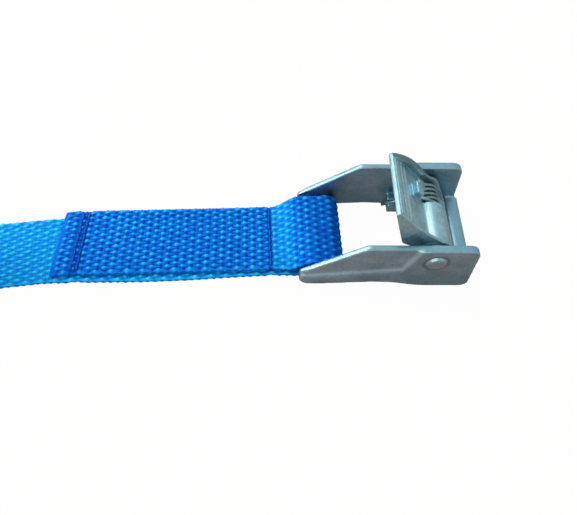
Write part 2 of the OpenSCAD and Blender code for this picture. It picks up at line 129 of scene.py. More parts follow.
# Route of the strap, in its own frame: x from the rear bar, turned a little in plan
strap_yaw = math.radians(2.4)
seam_x = -19.2
tail_length = 71
tail_x = seam_x - tail_length
tail_slant = 0.95
tail_shift = 0.8
tail_drift = 0.7
lower_shift = 0.6
lower_drift = 0.7
rise_from = seam_x + 1.2
rise_run = 9.6
rise_delay = 4.2
eye_radius = bar_height - half_thickness - 0.05
eye_out = 0.35
eye_spread = 1.2
lead_bend = 7
lead_yaw = math.radians(4.8)
lead_length = 76
roll_low, roll_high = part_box("strap_roll")
roll_radius = (roll_high.z - roll_low.z) / 2 / MM
roll_core = 6
roll_pitch = 1.72
roll_turns = (roll_radius - web_thickness - roll_core) / roll_pitch
outer_turns = 1.3

# Points along each stretch of the route, and along one turn of the roll
tail_steps, rise_steps, bar_steps, under_steps = 700, 300, 180, 200
bend_steps, lead_steps, turn_steps = 70, 690, 720

# Seams, the melted cut end, the painted light on the stretch before the bar, and the web pulled tight over
# the bar with painted shade on its turn
front_seams = [seam_x + 0.3]
rear_seams = [tail_x + 6.6, tail_x + 8.5]
thread_radius = 0.35
thread_strands = 3
strand_depth = 0.13
thread_twist = 5.0
stitch_length = 2.5
stitch_pitch = 2.8
stitch_count = 8
stitch_reach = 0.1
stitch_dive = 0.3
stitch_sway = 0.12
sway_step = 2.1
seam_groove = 0.42
seam_spread = 0.9
seam_calm = 0.55
seam_squeeze = 0.022
needle_height = 2 * web_thickness - seam_groove + 0.12
bobbin_height = seam_groove + 0.1
melt_length = 1.9
melt_from, melt_fade = 0.6 * melt_length, 0.7 * melt_length
melt_sink = 0.22
end_press = 0.32
end_slope = 3.5
end_round = 0.6
slope_light_rise, slope_light_run, slope_light_fall = 1.5, 6.5, 5
slope_light_share = 0.8
tight_from, tight_rise, tight_fall = 10, 9, 14
tight_calm = 0.5
turn_shade_share = 0.6

# Cheeks of the frame as the plain solid has them, seen from the side
nose_x = -28.2
nose_low, nose_high = 1.4, 6.8
foot_x = 27.5
cheek_top = 21.7
ramp_slope = 14.9 / 20
arch_x, arch_z = 2.9, 2.8
belly_x = 6.8
ledge_from, ledge_to = (-23.8, 5.2), (3.7, 9.1)
ledge_top = (7.9, cheek_top)
ledge_lean = (ledge_top[0] - ledge_to[0]) / (ledge_top[1] - ledge_to[1])

# What the casting die makes of them: a higher, softer ledge, a waved belly and rounder lower corners
cheek_from, cheek_fade = 14.3, 0.4
panel_from, panel_fade = 15.6, 0.6
nose_lift, ledge_lift = 1.0, 1.25
nose_run = 6
ledge_soft = 2.6
ledge_rounds = 36
# Width of the painted highlight along the ledge, and its share on the level part
ledge_glint = 1.3
level_glint = 0.2
slope_from, slope_run = ledge_to[0] - 2, 3
belly_line = [
    (nose_x, nose_low), (-24, 1.0), (-18, 1.3), (-10, 2.0), (-4, 2.4),
    (2, 2.1), (6, 1.15), (9.5, 0.35), (12.5, 0)
]
belly_blur = np.linspace(-2, 2, 9)
belly_reach = 5
foot_round, nose_round = 3.0, 2.8

# Softening of the castings, and the spread of their lighter edges, partly wear and partly painted highlight,
# and of the painted shade in their corners
frame_voxel, frame_rounds = 0.3, 10
lever_voxel, lever_rounds = 0.22, 4
soften_share, hollow_share = 0.5, 0.6
edge_rounds, hollow_rounds = 4, 10
upward_from, upward_run = 0.75, 0.2

# Lever, rivet and spring
lever_angle = math.radians(139)
lever_length = 22.5
lever_taper_from = 13
lever_half, lip_half = 12.8, 11.2
# Rim of the lever on the spring's side, given painted shade where it faces up
lever_rim, rim_fade = 1.0, 0.3
rim_upward_from, rim_upward_run = 0.4, 0.3
barrel_radius = 5.1
pin_radius = 2.2
head_radius = 3.6
head_height = 1.0
head_bevel = 0.76
head_side = 0.12
dome_rise = 0.1
rivet_steps = 48
rim_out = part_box("pivot_rivet")[1].y / MM - head_height
wire_radius = 0.56
wire_sides = 12
coil_radius = 3.55
coil_from = math.radians(61)
coil_sweep = math.radians(1571)
coil_pitch = 1.7
coil_steps = 180
frame_leg_y = 10.9
lever_leg_length = 14.4
frame_leg_length = 15

# Tie: tape from its start on top of the roll, round through the core, to its free end
tie_width = 8
tie_thickness = 1.2
tie_play = 0.1
tie_fill = 0.94
tie_wide_power, tie_thick_power = 0.35, 0.6
tie_start, tie_end = -4, 9
lap_from, lap_run = -7, 4
tie_step = 0.3
tie_rounds = 12


# Shader nodes written as Python expressions
class Socket:
    """A shader value; an operator on it adds a Math node."""

    def __init__(self, nodes, socket):
        self.nodes = nodes
        self.socket = socket

    def maths(self, operation, first, second):
        return self.nodes.add("ShaderNodeMath", {"operation": operation}, {0: first, 1: second})

    def __add__(self, other):
        return self.maths("ADD", self, other)

    def __radd__(self, other):
        return self.maths("ADD", other, self)

    def __sub__(self, other):
        return self.maths("SUBTRACT", self, other)

    def __rsub__(self, other):
        return self.maths("SUBTRACT", other, self)

    def __mul__(self, other):
        return self.maths("MULTIPLY", self, other)

    def __rmul__(self, other):
        return self.maths("MULTIPLY", other, self)

    def most(self, other):
        return self.maths("MAXIMUM", self, other)


class Nodes:
    """The node tree of a material or of the world."""

    def __init__(self, tree):
        self.tree = tree

    def add(self, kind, settings=None, sockets=None, output=0):
        node = self.tree.nodes.new(kind)
        for name, value in (settings or {}).items():
            setattr(node, name, value)
        for name, value in (sockets or {}).items():
            self.put(node.inputs[name], value)
        return Socket(self, node.outputs[output])

    def put(self, target, value):
        if isinstance(value, Socket):
            self.tree.links.new(value.socket, target)
        else:
            target.default_value = value

    def mix(self, share, first, second):
        """A colour between two others."""
        return self.add("ShaderNodeMix", {"data_type": "RGBA"}, {0: share, 6: first, 7: second}, 2)

    def ease(self, value, low, high):
        """A smooth step from 0 at low to 1 at high."""
        step = {"interpolation_type": "SMOOTHSTEP"}
        return self.add("ShaderNodeMapRange", step, {0: value, 1: low, 2: high})

    def noise(self, vector, scale, detail=2.0):
        return self.add("ShaderNodeTexNoise", None, {"Vector": vector, "Scale": scale, "Detail": detail})

    def stored(self, name, output="Fac"):
        """What the mesh stores at its points under this name."""
        return self.add("ShaderNodeAttribute", {"attribute_name": name}, None, output)

    def part(self, vector, axis):
        return self.add("ShaderNodeSeparateXYZ", None, {0: vector}, axis)

    def scaled(self, vector, scale):
        return self.add("ShaderNodeMapping", None, {"Vector": vector, "Scale": scale})

    def place(self):
        """The object's own coordinates, in millimetres."""
        here = self.add("ShaderNodeTexCoord", None, None, "Object")
        return self.scaled(here, (1 / MM, 1 / MM, 1 / MM))

    def from_pivot(self, here):
        """Distance from the cam's pivot axis."""
        away = self.add("ShaderNodeVectorMath", {"operation": "MULTIPLY_ADD"},
                        {0: here, 1: (1, 0, 1), 2: (-pivot[0], 0, -pivot[2])})
        return self.add("ShaderNodeVectorMath", {"operation": "LENGTH"}, {0: away}, "Value")

    def rays(self):
        """1 for what the camera sees directly, and 1 for what it sees by way of metal or glass."""
        names = ("Is Camera Ray", "Is Glossy Ray", "Is Transmission Ray")
        seen, mirrored, through = [self.add("ShaderNodeLightPath", None, None, name) for name in names]
        return seen, mirrored.most(through)

    def bump(self, height, distance):
        depth = distance * MM
        return self.add("ShaderNodeBump", None, {"Height": height, "Distance": depth, "Strength": 1.0})


def colour(red, green, blue):
    return (red, green, blue, 1.0)


def finish(name, constants):
    """A new material: its nodes and its main shader, with the values that are the same all over."""
    material = bpy.data.materials.new(name)
    material.use_nodes = True
    shader = material.node_tree.nodes["Principled BSDF"]
    for socket, value in constants.items():
        shader.inputs[socket].default_value = value
    return material, Nodes(material.node_tree), shader.inputs


def webbing_finish():
    """Blue yarns, with painted highlight on their crowns and painted shade, deep blue, in the gaps of the
    weave.
    """
    material, nodes, into = finish("woven webbing", {"Specular IOR Level": 0.03})
    weave = nodes.stored("weave", "Vector")
    marks = nodes.stored("marks", "Vector")
    height = nodes.part(weave, "Z")
    seam, melt, painted_light_share = [nodes.part(marks, axis) for axis in "XYZ"]
    fibres = nodes.noise(nodes.scaled(weave, (0.9, 9.0, 0.0)), 1.0, 3.0)
    cloud = nodes.noise(nodes.scaled(weave, (0.25, 0.25, 0.0)), 1.0)
    level = height + 0.2 * (fibres - 0.5)
    # Painted shade in the gaps and painted highlight on the crowns, both set by the stored height
    crown_glint = nodes.ease(level, 0.58, 1.0)
    gap_shade_blue = colour(0.0003, 0.058, 0.45)
    yarn_blue = colour(0.0040, 0.235, 0.90)
    crown_glint_blue = colour(0.032, 0.600, 1.0)
    yarns = nodes.mix(nodes.ease(level, 0.1, 0.58), gap_shade_blue, nodes.mix(crown_glint, yarn_blue, crown_glint_blue))
    # Painted light: paler blues on the inner face and on the rising stretch before the bar
    pale = nodes.mix(nodes.ease(level, 0.15, 0.95), colour(0.003, 0.270, 0.84), colour(0.030, 0.700, 1.0))
    painted_lighter = nodes.mix(painted_light_share * 0.9, yarns, pale)
    shaded = nodes.mix(nodes.ease(cloud, 0.3, 0.75) * 0.2, painted_lighter, yarn_blue)
    # Seams darker where pressed; the same mark paints shade on the web's turn over the bar
    sewn = nodes.mix(seam * 0.75, shaded, colour(0.0010, 0.050, 0.42))
    nodes.put(into["Base Color"], nodes.mix(melt * 0.85, sewn, colour(0.0015, 0.150, 0.72)))
    nodes.put(into["Roughness"], 0.46 - 0.08 * crown_glint + 0.12 * (fibres - 0.5) + 0.1 * melt)
    nodes.put(into["Normal"], nodes.bump(fibres * (1 - melt), 0.05))
    return material


def thread_finish():
    """Twisted sewing thread, darker than the webbing."""
    material, nodes, into = finish("sewing thread", {"Specular IOR Level": 0.1})
    grain = nodes.noise(nodes.place(), 4.0)
    nodes.put(into["Base Color"], nodes.mix(grain, colour(0.0010, 0.070, 0.48), colour(0.0020, 0.150, 0.72)))
    nodes.put(into["Roughness"], 0.45 + 0.2 * grain)
    return material


def casting_finish(name, dark, light, roughness, mottle, rub_and_glint, barrel_glint=0.0, top_shade=0.0, rivet_shade=0.0):
    """Die-cast zinc with a bluish skin.

    mottle is how far grey blotches show, the rub share how far the edges shine, partly wear and partly
    painted highlight, the barrel share how far a painted highlight lightens the barrel, the top share how far
    painted shade darkens the upper faces, and the rivet share how far painted shade darkens the cheek round
    the rivet.
    """
    material, nodes, into = finish(name, {"Metallic": 1.0})
    here = nodes.place()
    cloud = nodes.noise(here, 0.2, 4.0)
    blotch = nodes.noise(here, 0.7, 3.0)
    speck = nodes.noise(here, 1.5, 2.0)
    grain = nodes.noise(here, 5.0, 3.0)
    from_pivot = nodes.from_pivot(here)
    skin = nodes.mix(nodes.ease(cloud, 0.32, 0.7), dark, light)
    toned = nodes.mix(nodes.ease(blotch, 0.42, 0.66) * mottle, skin, colour(0.32, 0.37, 0.375))
    flecked = nodes.mix(nodes.ease(speck, 0.5, 0.72) * 0.2, toned, colour(0.50, 0.68, 0.75))
    pitted = nodes.mix((1 - nodes.ease(speck, 0.28, 0.5)) * 0.18, flecked, colour(0.10, 0.17, 0.20))
    # Painted shade in hollows and corners
    in_corner = nodes.ease(nodes.stored("hollow"), 0.02, 0.12)
    painted_corner_shade = nodes.mix(in_corner * 0.6, pitted, colour(0.06, 0.14, 0.18))
    # Painted shade on faces that look up
    painted_top_shade = nodes.mix(nodes.stored("upward") * top_shade * (0.3 + 1.2 * blotch), painted_corner_shade, dark)
    # Lighter edges: partly rubbed wear, partly painted highlight
    edge_wear_and_glint = nodes.ease(nodes.stored("edge") + 0.06 * (grain - 0.5), 0.03, 0.18)
    edged = nodes.mix(edge_wear_and_glint * rub_and_glint * (0.4 + 1.2 * blotch), painted_top_shade, colour(0.50, 0.66, 0.70))
    # Painted shade on the lever's far rim, for the dark it reflects
    painted_rim_shade = nodes.stored("painted_rim_shade") * (0.8 + 0.5 * (blotch - 0.5))
    # Painted shade darkens the cheek in a ring round the rivet head
    painted_rivet_shade = rivet_shade * (1 - nodes.ease(from_pivot, head_radius + 0.2, head_radius + 1.1))
    painted_rim_and_rivet_shade = nodes.mix(painted_rim_shade.most(painted_rivet_shade), edged, colour(0.12, 0.21, 0.24))
    # Painted highlight along the cheeks' ledge
    painted_ledge_glint = nodes.stored("ledge") * (0.55 + 0.7 * (blotch - 0.5))
    ledge_glinted = nodes.mix(painted_ledge_glint, painted_rim_and_rivet_shade, colour(0.46, 0.72, 0.79))
    # Painted highlight: the barrel behind the pivot is lightened
    on_barrel = 1 - nodes.ease(from_pivot, barrel_radius + 0.2, barrel_radius + 1.2)
    behind = 1 - nodes.ease(nodes.part(here, "X"), pivot[0] - 2.2, pivot[0] + 1.4)
    painted_barrel_highlight = barrel_glint * on_barrel * behind * (0.7 + 0.6 * (blotch - 0.5))
    nodes.put(into["Base Color"], nodes.mix(painted_barrel_highlight, ledge_glinted, colour(0.52, 0.80, 0.87)))
    nodes.put(into["Roughness"], roughness + 0.10 * nodes.ease(cloud, 0.35, 0.7) + 0.08 * (grain - 0.5))
    nodes.put(into["Normal"], nodes.bump(0.6 * blotch + 0.4 * grain, 0.10))
    return material


def steel_finish(name, dark, light, roughness, coil_shade=0.0):
    """Zinc-plated steel of the rivet or the spring; the coil share is how far painted shade darkens it round
    the pivot, where the coil lies in the recess.
    """
    material, nodes, into = finish(name, {"Metallic": 1.0})
    here = nodes.place()
    cloud = nodes.noise(here, 0.8, 3.0)
    grain = nodes.noise(here, 6.0)
    plated = nodes.mix(nodes.ease(cloud, 0.3, 0.7), dark, light)
    # Painted shade round the pivot, where the coil sits in the recess
    painted_coil_shade = coil_shade * (1 - nodes.ease(nodes.from_pivot(here), 4.5, 7.0))
    nodes.put(into["Base Color"], nodes.mix(painted_coil_shade, plated, colour(0.08, 0.15, 0.17)))
    nodes.put(into["Roughness"], roughness + 0.12 * (grain - 0.5) + 0.1 * (cloud - 0.5))
    nodes.put(into["Normal"], nodes.bump(grain, 0.02))
    return material


def tie_finish():
    """Black hook-and-loop tape: matt, with a felted nap."""
    material, nodes, into = finish("hook and loop tape", {"Specular IOR Level": 0.2, "Sheen Weight": 0.3})
    nap = nodes.noise(nodes.place(), 3.5, 4.0)
    nodes.put(into["Base Color"], nodes.mix(nap, colour(0.008, 0.008, 0.009), colour(0.035, 0.035, 0.038)))
    nodes.put(into["Roughness"], 0.75 + 0.2 * nap)
    nodes.put(into["Normal"], nodes.bump(nap, 0.25))
    return material


# Mesh helpers
def mesh_of(bm, name):
    """A new mesh of what has been built; the building store is freed."""
    mesh = bpy.data.meshes.new(name)
    bm.to_mesh(mesh)
    bm.free()
    return mesh


def add_object(name, data):
    thing = bpy.data.objects.new(name, data)
    bpy.context.scene.collection.objects.link(thing)
    return thing


def add_piece(name, mesh, material, body, slot, *nodes):
    """A finished piece: linked, painted, riding on its body and standing for its CAD nodes."""
    piece = add_object(name, mesh)
    mesh.materials.clear()
    mesh.materials.append(material)
    mesh.polygons.foreach_set("use_smooth", [True] * len(mesh.polygons))
    if body:
        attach(piece, body)
    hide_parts(*nodes)
    return piece


def read(items, key, width, kind=float):
    """A row of values for each point or edge of a mesh."""
    values = np.empty(len(items) * width, kind)
    items.foreach_get(key, values)
    return values.reshape(-1, width)


def store(mesh, key, values):
    """Keeps a value at each point of a mesh, for its finish to use."""
    layer = mesh.attributes.new(key, "FLOAT", "POINT")
    layer.data.foreach_set("value", values.astype(np.float32))


def points_and_links(mesh):
    """A mesh's points in millimetres and the two ends of each of its edges."""
    return read(mesh.vertices, "co", 3) / MM, read(mesh.edges, "vertices", 2, int).T


def beside(values, one, other):
    """Mean of each point's neighbours, over edges that join one point to the other."""
    count = len(values)
    total = np.bincount(one, values[other], count) + np.bincount(other, values[one], count)
    links = np.bincount(one, minlength=count) + np.bincount(other, minlength=count)
    return total / np.maximum(links, 1)


def close_ends(bm):
    """Caps the open ends and turns the faces outward."""
    ends = [edge for edge in bm.edges if edge.is_boundary]
    bmesh.ops.holes_fill(bm, edges=ends, sides=0)
    bmesh.ops.recalc_face_normals(bm, faces=bm.faces)


def sleeve(name, rings, attributes=None):
    """A closed sleeve through rings of points. Rings are rows of points round the piece, in millimetres."""
    rows, around, _ = rings.shape
    bm = bmesh.new()
    bmesh.ops.create_grid(bm, x_segments=around, y_segments=rows - 1, size=0.5)
    mesh = mesh_of(bm, name)
    flat = read(mesh.vertices, "co", 3) + 0.5
    column = np.rint(flat[:, 0] * around).astype(int) % around
    row = np.rint(flat[:, 1] * (rows - 1)).astype(int)
    mesh.vertices.foreach_set("co", (rings[row, column] * MM).ravel())
    for key, values in (attributes or {}).items():
        layer = mesh.attributes.new(key, "FLOAT_VECTOR", "POINT")
        layer.data.foreach_set("vector", values[row, column].astype(np.float32).ravel())
    bm = bmesh.new()
    bm.from_mesh(mesh)
    seam = [vert for vert in bm.verts if vert.is_boundary]
    bmesh.ops.remove_doubles(bm, verts=seam, dist=weld_gap * MM)
    close_ends(bm)
    bm.to_mesh(mesh)
    bm.free()
    return mesh


def ease(value):
    """Smooth step from 0 to 1, flat outside."""
    held = np.clip(value, 0, 1)
    return held * held * (3 - 2 * held)


def unit(vectors):
    return vectors / np.linalg.norm(vectors, axis=-1, keepdims=True)


# The strap's route: matching points on its two edges, from the cut end of the tail to the roll's core
def stretch(start, stop, steps):
    """Even steps that stop one short of the end, where the next stretch starts."""
    return np.linspace(start, stop, steps + 1)[:-1]


def strap_edges(side):
    """Points along one edge of the strap's middle layer, in the strap's frame."""
    half = side * half_width
    parts = []

    def lay(x, y, z):
        parts.append(np.stack(np.broadcast_arrays(x, y, z), axis=1).astype(float))

    x = stretch(tail_x + side * tail_slant, seam_x, tail_steps)
    pressed = end_press * (1 - ease((x - x[0]) / end_slope))
    lay(x, half + tail_shift + tail_drift * (seam_x - x) / tail_length, 3 * half_thickness - pressed)
    x = stretch(seam_x, eye_out, rise_steps)
    begin = rise_from + rise_delay * (1 - side) / 2
    top = bar_height + eye_radius
    rise = ease((x - begin) / rise_run)
    spread = half - eye_spread * (1 - side) / 2
    aside = spread + (half + tail_shift - spread) * ease(x / seam_x)
    lay(x, aside, 3 * half_thickness + (top - 3 * half_thickness) * rise)
    angle = stretch(math.pi / 2, -math.pi / 2, bar_steps)
    lay(eye_out + eye_radius * np.cos(angle), spread, bar_height + eye_radius * np.sin(angle))
    x = stretch(eye_out, seam_x, under_steps)
    low = bar_height - eye_radius
    aside = spread + (half - lower_shift - spread) * ease(x / seam_x)
    lay(x, aside, low + (half_thickness - low) * ease(x / seam_x))
    x = stretch(seam_x, tail_x, tail_steps)
    aside = lower_shift + lower_drift * np.sin(math.pi * (x - seam_x) / tail_length) ** 2
    lay(x, half - aside, half_thickness)
    bend = stretch(0, lead_yaw, bend_steps)
    radius = lead_bend / lead_yaw
    lay(tail_x - radius * np.sin(bend) - half * np.sin(bend),
        radius * (np.cos(bend) - 1) + half * np.cos(bend) - lower_shift, half_thickness)
    run = stretch(0, lead_length - lead_bend, lead_steps)
    lay(*lead_plan(run, half), half_thickness)
    roll = np.arange(0, roll_turns, 1 / turn_steps) * TURN
    reach = roll_radius - half_thickness - roll_pitch * roll / TURN
    lay(*lead_plan(lead_length - lead_bend + reach * np.sin(roll), half), roll_radius - reach * np.cos(roll))
    return np.concatenate(parts)


def lead_plan(run, half):
    """Plan of the straight lead past its bend, and of the roll that stands on its end."""
    radius = lead_bend / lead_yaw
    start = (tail_x - radius * math.sin(lead_yaw), radius * (math.cos(lead_yaw) - 1) - lower_shift)
    x = start[0] - half * math.sin(lead_yaw) - run * math.cos(lead_yaw)
    y = start[1] + half * math.cos(lead_yaw) - run * math.sin(lead_yaw)
    return x, y


def to_frame(points):
    """From the strap's frame to the object's."""
    c, s = math.cos(strap_yaw), math.sin(strap_yaw)
    x, y, z = points[..., 0], points[..., 1], points[..., 2]
    return np.stack([rear_bar[0] + c * x - s * y, s * x + c * y, z], axis=-1)


near_edge = strap_edges(-1)
far_edge = strap_edges(1)
middle = (near_edge + far_edge) / 2
strap_along = np.concatenate([[0], np.cumsum(np.linalg.norm(np.diff(middle, axis=0), axis=1))])

# Where each stretch of the strap starts along its length
eye_steps = rise_steps + bar_steps + under_steps
stretch_steps = [0, tail_steps, eye_steps, tail_steps, bend_steps + lead_steps, int(turn_steps * outer_turns)]
tail_start, eye_start, lower_start, lead_start, roll_start, roll_inner = strap_along[np.cumsum(stretch_steps)]
strap_end = strap_along[-1]


def weave_depth(along, across, face):
    """How far a woven face lies below its highest yarns; rows along the strap, columns across it."""
    random = np.random.default_rng(weave_seed)
    drift = sum(size * np.sin(along / run + start) for size, run, start in drift_waves)
    pick = TURN * (2 * (along / float_period + drift) - weft_lag)
    ridge = (((1 + np.cos(pick)) / 2) ** weft_peak)[:, None]
    second = (0.5 - 0.5 * np.cos(pick / 2))[:, None] ** 2
    bead = 0.5 + 0.5 * np.cos(math.pi * ((across + flat_half) / warp_pitch - 0.5 - face))[None, :]
    dip = (first_dip + second_dip * second) * (1 - bead)
    depth = ridge * (1 - dip) * (gap_depth - weft_drop) - gap_depth
    for column in range(warp_count):
        sway = yarn_sway * np.sin(along / sway_run + column)[:, None]
        centre = (column + 0.5) * warp_pitch - flat_half + sway
        place = along / float_period + drift + 0.5 * ((column + face) % 2) + random.normal(0, lag_spread)
        floats = np.arange(place[0] - 1, place[-1] + 2)
        tall = np.interp(place, floats, 1 + random.normal(0, float_spread, len(floats)))[:, None]
        wave = np.cos(TURN * place + float_skew * np.cos(TURN * place))[:, None]
        over = ((1 + wave) / 2) ** float_peak
        width = yarn_under + (yarn_over - yarn_under) * over
        side = (across[None, :] - centre) / width
        yarn = float_rise * (over * tall - 1) - yarn_crown * side * side
        depth = np.maximum(depth, np.where(np.abs(side) < 1, yarn, -gap_depth))
    return depth


def seam_press(along):
    """1 on a seam's line, falling to 0 beside it."""
    press = np.zeros(len(along))
    for seam in front_seams + rear_seams:
        for place in (tail_start + seam - tail_x, lower_start + seam_x - seam):
            press = np.maximum(press, np.exp(-((along - place) / seam_spread) ** 2))
    return press


def section(outer_samples, inner_samples):
    """Points round the web's section: the outer face, the far edge, the inner face and the near edge.

    Gives their places across the web, the skin's direction there as parts of the normal and of the width,
    and 1 on the outer face falling to 0 on the inner.
    """
    arc = np.linspace(math.pi / 2, -math.pi / 2, edge_samples + 2)[1:-1]
    outer = np.linspace(-flat_half, flat_half, outer_samples)
    inner = np.linspace(flat_half, -flat_half, inner_samples)
    edge = np.full(edge_samples, flat_half)
    across = np.concatenate([outer, edge, inner, -edge])
    lift = np.concatenate([np.ones(outer_samples), np.sin(arc), -np.ones(inner_samples), -np.sin(arc)])
    out = np.concatenate([np.zeros(outer_samples), np.cos(arc), np.zeros(inner_samples), -np.cos(arc)])
    on_outer = np.concatenate([np.ones(outer_samples), 1 - edge_turn, np.zeros(inner_samples), edge_turn])
    return across, lift, out, on_outer


def relief(along, across, outer_samples):
    """Depth of the yarns round the section; the rounded edges run from one face's depth to the other's."""
    faces = across[:outer_samples], across[outer_samples + edge_samples:-edge_samples]
    depths = []
    for face, samples in enumerate(faces):
        woven = weave_depth(along, samples, face)
        smooth = np.full_like(woven, -plain_share * gap_depth)
        depths.append(woven if len(samples) > 2 * warp_count else smooth)
    outer, inner = depths
    right = outer[:, -1:] * (1 - edge_turn) + inner[:, :1] * edge_turn
    left = inner[:, -1:] * (1 - edge_turn) + outer[:, :1] * edge_turn
    braid = np.cos(TURN * (along[:, None] / selvedge_pitch + np.where(edge_turn < 0.5, 0.0, 0.5)[None, :]))
    side_depth = selvedge_depth * (braid - 1) * np.sin(math.pi * edge_turn)[None, :]
    depth = np.concatenate([outer, right, inner, left], axis=1)
    at_edge = ease((np.abs(across) - flat_half + selvedge_run) / selvedge_run)
    depth = depth * (1 - selvedge_calm * at_edge)[None, :]
    depth[:, outer_samples:outer_samples + edge_samples] += side_depth
    depth[:, -edge_samples:] += side_depth
    return depth


def webbing(name, start, stop, step, outer_samples, inner_samples):
    """A stretch of webbing with real yarns on the faces that have samples enough for them."""
    along = np.linspace(start, stop, int(round((stop - start) / step)) + 1)
    near, far = [
        np.stack([np.interp(along, strap_along, edge[:, k]) for k in range(3)], axis=1)
        for edge in (near_edge, far_edge)
    ]
    across, lift, out, on_outer = section(outer_samples, inner_samples)
    share = (across + half_width) / web_width
    middle_layer = near[:, None] * (1 - share)[None, :, None] + far[:, None] * share[None, :, None]
    length_way = unit(np.gradient(middle_layer, axis=0))
    width_way = unit(far - near)[:, None, :]
    normal = unit(np.cross(length_way, np.broadcast_to(width_way, length_way.shape)))
    depth = relief(along, across, outer_samples)

    # Seams pull the faces in; the cut end of the tail is thinned, rounded and melted smooth
    sewn = seam_press(along)[:, None]
    press = sewn * on_outer[None, :]
    melted = 1 - ease((along - melt_from) / melt_fade)
    melt = np.broadcast_to(melted[:, None], press.shape)
    end = 1 - end_press / half_thickness * (1 - ease(along / end_slope))
    end = end * np.sqrt(np.clip(1 - np.clip(1 - along / end_round, 0, 1) ** 2, 0.01, 1))
    thin = (half_thickness - edge_radius) * ease((np.abs(across) - flat_half + edge_run) / edge_run)
    body = (half_thickness - thin)[None, :] * end[:, None]

    # Over the bar the web is pulled tight, and its turn is darkened with painted shade
    leaving = ease((along - lower_start + tight_fall) / tight_fall)
    tight = (ease((along - eye_start - tight_from) / tight_rise) * (1 - leaving))[:, None]
    woven = depth * (1 - seam_calm * press) * (1 - tight_calm * tight)
    rough = woven * (1 - melt) - melt_sink * melt - seam_groove * press
    skin = body + rough * np.minimum(1, body / half_thickness)
    squeeze = 1 - seam_squeeze * sewn * (np.abs(across) / half_width)[None, :] ** 4
    shift = (squeeze - 1) * across[None, :] + out[None, :] * skin
    rings = middle_layer + normal * (lift[None, :] * skin)[..., None] + width_way * shift[..., None]

    # The edges of the tail droop, and nothing sinks into the ground
    rim = ease((np.abs(across) - flat_half + droop_width) / droop_width)[None, :]
    rings[..., 2] -= edge_droop * rim * (1 - ease((along - eye_start + droop_run) / droop_run))[:, None]
    rings[..., 2] = np.maximum(rings[..., 2], 0.0)

    # Between the front seam and the bar, where the web rises towards the light, it is painted paler like its
    # inner face: painted light on both
    slope_light_end = ease((along - eye_start - slope_light_run) / slope_light_fall)
    slope_light = slope_light_share * ease((along - eye_start) / slope_light_rise) * (1 - slope_light_end)
    pale = np.maximum(1 - on_outer[None, :], slope_light[:, None])
    # Marks: seam press with painted shade on the turn over the bar, the melted end, and painted light on the
    # inner face and the rising stretch
    marks = np.stack([np.maximum(press, turn_shade_share * tight), melt, pale], axis=-1)
    # The stored height drives painted shade in the gaps and painted highlight on the crowns; lowered on the
    # rounded sides, it paints shade there too
    height = np.clip(1 + depth / gap_depth, 0, 1) * (1 - side_shade * np.abs(out))[None, :]
    weave = np.stack(np.broadcast_arrays(along[:, None], across[None, :], height), axis=-1)
    return sleeve(name, to_frame(rings), {"weave": weave, "marks": marks})


def lay_webbing(material):
    """The strap's stretches, finely woven where they are seen from near."""
    fine = 9 * warp_count
    plain = 4 * warp_count
    hidden = 13
    stretches = [
        ("sewn_tail", "strap_sewn_tail", tail_start, eye_start, 0.2, fine, hidden),
        ("bar_eye", "strap_eye", eye_start, lower_start, 0.2, fine, plain),
        ("lower_run", "strap_lower_run", lower_start, lead_start, 0.25, plain, plain),
        ("lead", "strap_lead", lead_start, roll_start, 0.24, plain, fine),
        ("roll_outer_turn", "strap_roll", roll_start, roll_inner, 0.37, plain, hidden),
        ("roll_inner_turns", "strap_roll", roll_inner, strap_end, 1.2, hidden, hidden),
    ]
    for name, node, start, stop, step, outer, inner in stretches:
        mesh = webbing(name, start, stop, step, outer, inner)
        piece = add_piece(name, mesh, material, "strap", "webbing", node)


# Seams
def stitch(x, y, z, up):
    """Rings of one stitch: an arched, twisted thread across the strap whose ends dive into the web."""
    ahead = np.linspace(-1, 1, 11)
    round_it = np.linspace(0, TURN, 10)[:-1]
    lobes = 1 + strand_depth * np.cos(thread_strands * round_it[None, :] + thread_twist * ahead[:, None])
    radius = thread_radius * np.sqrt(np.clip(1 - ahead ** 8, 0.02, 1))[:, None] * lobes
    ring_x = x + radius * np.cos(round_it)[None, :]
    ring_y = y + ahead[:, None] * (stitch_length / 2 + stitch_reach)
    ring_z = z + up * (radius * np.sin(round_it)[None, :] - stitch_dive * ahead[:, None] ** 4)
    return np.stack(np.broadcast_arrays(ring_x, ring_y, ring_z), axis=-1)


def sew(name, seams, z, up, aside, material):
    """A row of stitches across the strap for each seam, joined into one piece."""
    bm = bmesh.new()
    for x in seams:
        for number in range(stitch_count):
            y = (number - (stitch_count - 1) / 2) * stitch_pitch + aside
            slant = tail_slant * y / half_width * (seam_x - x) / tail_length
            sway = stitch_sway * math.sin(sway_step * number + x)
            part = sleeve("stitch", to_frame(stitch(x + sway + slant, y, z, up)))
            bm.from_mesh(part)
            bpy.data.meshes.remove(part)
    mesh = mesh_of(bm, name)
    add_piece(name, mesh, material, "strap", "thread", name.replace("_stitches", "_thread"))


